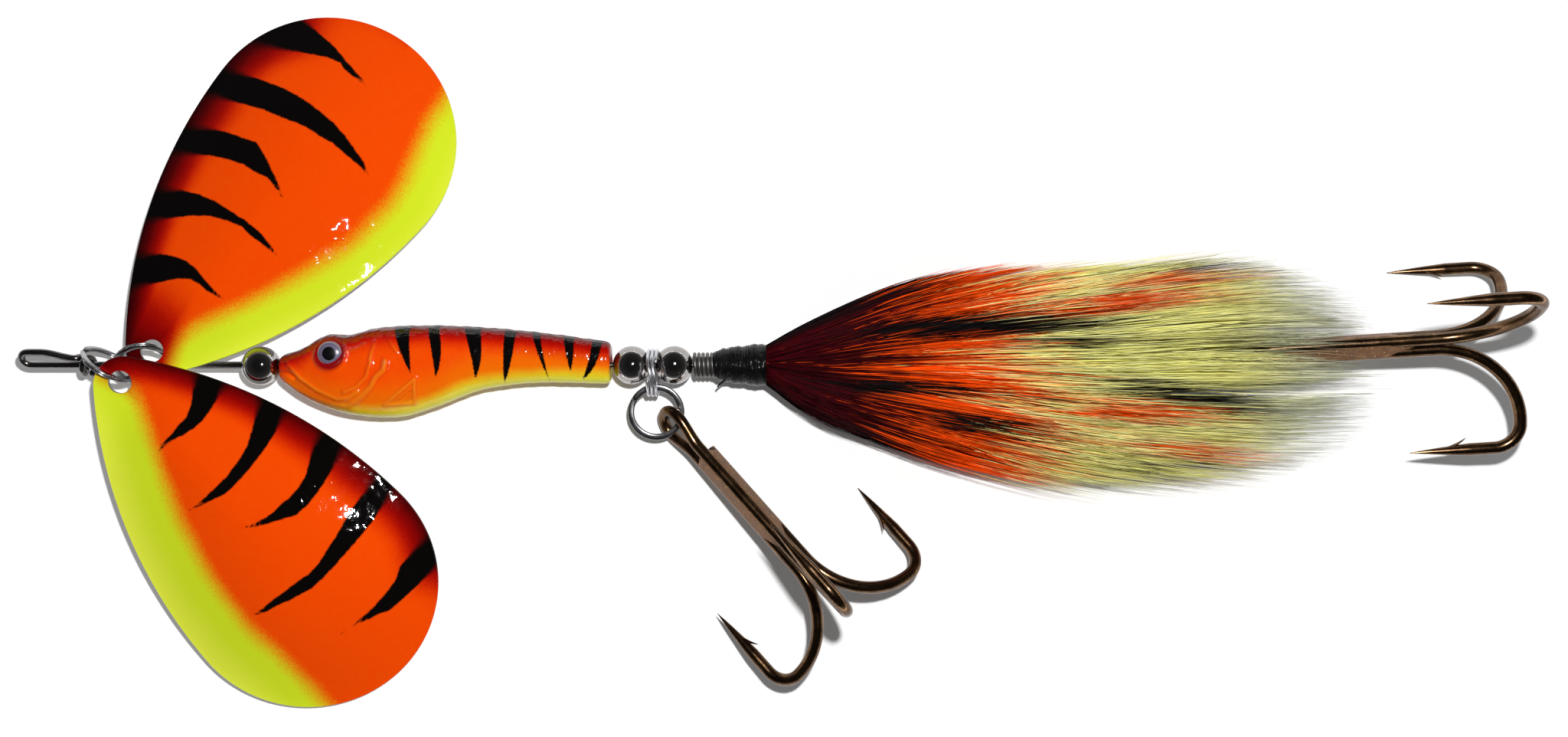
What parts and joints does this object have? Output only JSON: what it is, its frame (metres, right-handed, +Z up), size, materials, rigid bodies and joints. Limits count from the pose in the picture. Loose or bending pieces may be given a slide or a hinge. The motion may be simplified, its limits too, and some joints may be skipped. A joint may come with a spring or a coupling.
{
  "type": "inline spinner lure",
  "caption": "Inline spinner lure: cupped blades and a moulded minnow turn on a wire shaft with beads, split rings, treble hooks and a tied hair tail.",
  "frame": {"origin": "on the table, under the middle of the whole lure's bounding box", "axes": "+X along the wire from the line tie to the tail hook, +Z up from the table, +Y towards the upper blade"},
  "size_m": [0.2318, 0.1099, 0.032],
  "materials": {
    "shaft_steel": "dark drawn stainless wire",
    "coil_steel": "grey wire",
    "tube_plastic": "dark tube",
    "black_thread": "waxed black thread",
    "chartreuse_hair": "dyed hair",
    "orange_hair": "dyed hair",
    "maroon_hair": "dyed hair",
    "black_nickel": "black nickel plate",
    "silver_plate": "bright plate",
    "blade_paint": "airbrushed gloss",
    "bead_chrome": "dark polished",
    "minnow_paint": "airbrushed moulding under clear coat",
    "eye_paint": "printed eye under clear dome",
    "hook_bronze": "bronzed wire"
  },
  "bodies": {
    "shaft": {"shaft_wire": "shaft_steel", "lock_coil": "coil_steel", "tail_tube": "tube_plastic", "thread_winding": "black_thread", "under_hair": "chartreuse_hair", "middle_hair": "orange_hair", "outer_hair": "maroon_hair"},
    "upper_ring": {"upper_blade_ring": "black_nickel"},
    "upper_blade": {"upper_blade": "blade_paint"},
    "lower_ring": {"lower_blade_ring": "black_nickel"},
    "lower_blade": {"lower_blade": "blade_paint"},
    "front_bead": {"front_bead": "bead_chrome"},
    "minnow": {"minnow_body": "minnow_paint", "near_eye": "eye_paint", "far_eye": "eye_paint"},
    "middle_bead": {"middle_bead": "bead_chrome"},
    "rear_bead": {"rear_bead": "bead_chrome"},
    "hanger": {"hanger_ring": "silver_plate"},
    "belly_ring": {"belly_ring": "black_nickel"},
    "belly_hook": {"belly_hook_pair": "hook_bronze", "belly_hook_third": "hook_bronze"},
    "tail_hook": {"tail_hook_pair": "hook_bronze", "tail_hook_third": "hook_bronze"}
  },
  "joints": [
    {"name": "upper_ring_spin", "type": "hinge", "parent": "shaft", "child": "upper_ring", "pos_m": [-0.09698, 0, 0.00475], "axis": [1, 0, 0], "continuous": true},
    {"name": "lower_ring_spin", "type": "hinge", "parent": "shaft", "child": "lower_ring", "pos_m": [-0.10168, 0, 0.00475], "axis": [1, 0, 0], "continuous": true},
    {"name": "upper_blade_swing", "type": "hinge", "parent": "upper_ring", "child": "upper_blade", "pos_m": [-0.09473, 0.00218, 0.00648], "axis": [0.0603, 0.0767, 0.9952], "range_deg": [0, 35]},
    {"name": "lower_blade_swing", "type": "hinge", "parent": "lower_ring", "child": "lower_blade", "pos_m": [-0.09892, -0.0026, 0.00827], "axis": [0.0826, -0.0957, 0.992], "range_deg": [-35, 0]},
    {"name": "front_bead_spin", "type": "hinge", "parent": "shaft", "child": "front_bead", "pos_m": [-0.0784, -0.0001, 0.00475], "axis": [1, 0, 0], "continuous": true},
    {"name": "minnow_spin", "type": "hinge", "parent": "shaft", "child": "minnow", "pos_m": [-0.0752, 0, 0.00475], "axis": [1, 0, 0], "continuous": true},
    {"name": "middle_bead_spin", "type": "hinge", "parent": "shaft", "child": "middle_bead", "pos_m": [-0.0203, 0, 0.00475], "axis": [1, 0, 0], "continuous": true},
    {"name": "rear_bead_spin", "type": "hinge", "parent": "shaft", "child": "rear_bead", "pos_m": [-0.0137, 0, 0.00475], "axis": [1, 0, 0], "continuous": true},
    {"name": "hanger_spin", "type": "hinge", "parent": "shaft", "child": "hanger", "pos_m": [-0.017, 0, 0.00475], "axis": [1, 0, 0], "continuous": true},
    {"name": "belly_ring_flop", "type": "hinge", "parent": "hanger", "child": "belly_ring", "pos_m": [-0.01655, -0.00349, 0.00474], "axis": [1, 0, 0], "range_deg": [-30, 30]},
    {"name": "belly_hook_swing", "type": "hinge", "parent": "belly_ring", "child": "belly_hook", "pos_m": [-0.01655, -0.0074, 0.0042], "axis": [0, -0.1374, 0.9905], "range_deg": [-50, 8]},
    {"name": "tail_hook_swing", "type": "hinge", "parent": "shaft", "child": "tail_hook", "pos_m": [0.07245, 0.00124, 0.00764], "axis": [0, -0.3007, 0.9537], "range_deg": [-12, 20], "deforming": ["outer_hair", "middle_hair", "under_hair"]}
  ],
  "couplings": [
    {"joint": "lower_ring_spin", "follows": "upper_ring_spin", "ratio": 1}
  ]
}
